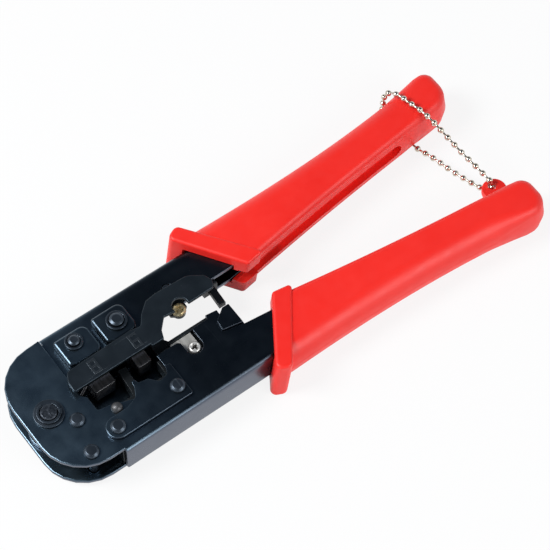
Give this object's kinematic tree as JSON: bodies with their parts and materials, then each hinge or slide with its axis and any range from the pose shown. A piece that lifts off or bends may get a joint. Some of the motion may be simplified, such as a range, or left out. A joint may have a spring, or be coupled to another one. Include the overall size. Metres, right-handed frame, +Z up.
{
  "type": "crimping tool",
  "caption": "Hand crimping tool for modular plugs: folded steel frame and nested lever on a pivot, plug dies, stripping blade, red moulded grips and a ball chain.",
  "frame": {"origin": "centre of the tool's footprint on the surface it lies on", "axes": "+X from the nose to the handle ends, +Y from the frame towards the lever, +Z up out of the face with the dies"},
  "size_m": [0.2004, 0.0748, 0.02],
  "materials": {
    "black_steel": "blackened steel with a blue cast, satin",
    "dark_steel": "charcoal oxide, matte",
    "rivet_steel": "blackened steel, worn on the crowns",
    "bright_steel": "ground steel",
    "spring_steel": "oiled spring steel",
    "brass": "yellow passivated screw",
    "chain_metal": "nickel plated ball chain",
    "red_plastic": "satin moulded plastic"
  },
  "bodies": {
    "frame": {"frame_channel": "black_steel", "die_plate": "black_steel", "die_nest": "dark_steel", "latch_post": "bright_steel", "nose_rivet_1": "rivet_steel", "nose_rivet_2": "rivet_steel", "die_rivet_1": "rivet_steel", "die_rivet_2": "rivet_steel", "pivot_pin": "rivet_steel", "pivot_washer": "rivet_steel", "pivot_clip": "rivet_steel", "return_spring": "spring_steel", "blade_seat": "dark_steel", "stripper_blade": "bright_steel", "blade_screw": "bright_steel", "strip_block": "dark_steel", "lower_grip": "red_plastic", "safety_chain": "chain_metal"},
    "lever": {"lever_channel": "black_steel", "pivot_bush": "spring_steel", "punch_8": "bright_steel", "punch_6": "bright_steel", "pad_8": "black_steel", "pad_6": "black_steel", "punch_pin_8": "rivet_steel", "punch_pin_6": "rivet_steel", "punch_ring_8": "rivet_steel", "punch_ring_6": "rivet_steel", "guide_plate": "dark_steel", "cutter_arm": "dark_steel", "cutter_pin": "rivet_steel", "cutter_screw": "brass", "stop_peg": "dark_steel", "upper_grip": "red_plastic", "chain_connector": "chain_metal"}
  },
  "joints": [
    {"name": "handle_pivot", "type": "hinge", "parent": "frame", "child": "lever", "pos_m": [-0.09115, 0, 0.009], "axis": [0, 0, 1], "range_deg": [-8, 0], "stiffness_Nm_per_rad": 1, "springref_deg": 8.59, "deforming": ["safety_chain", "return_spring"]}
  ]
}
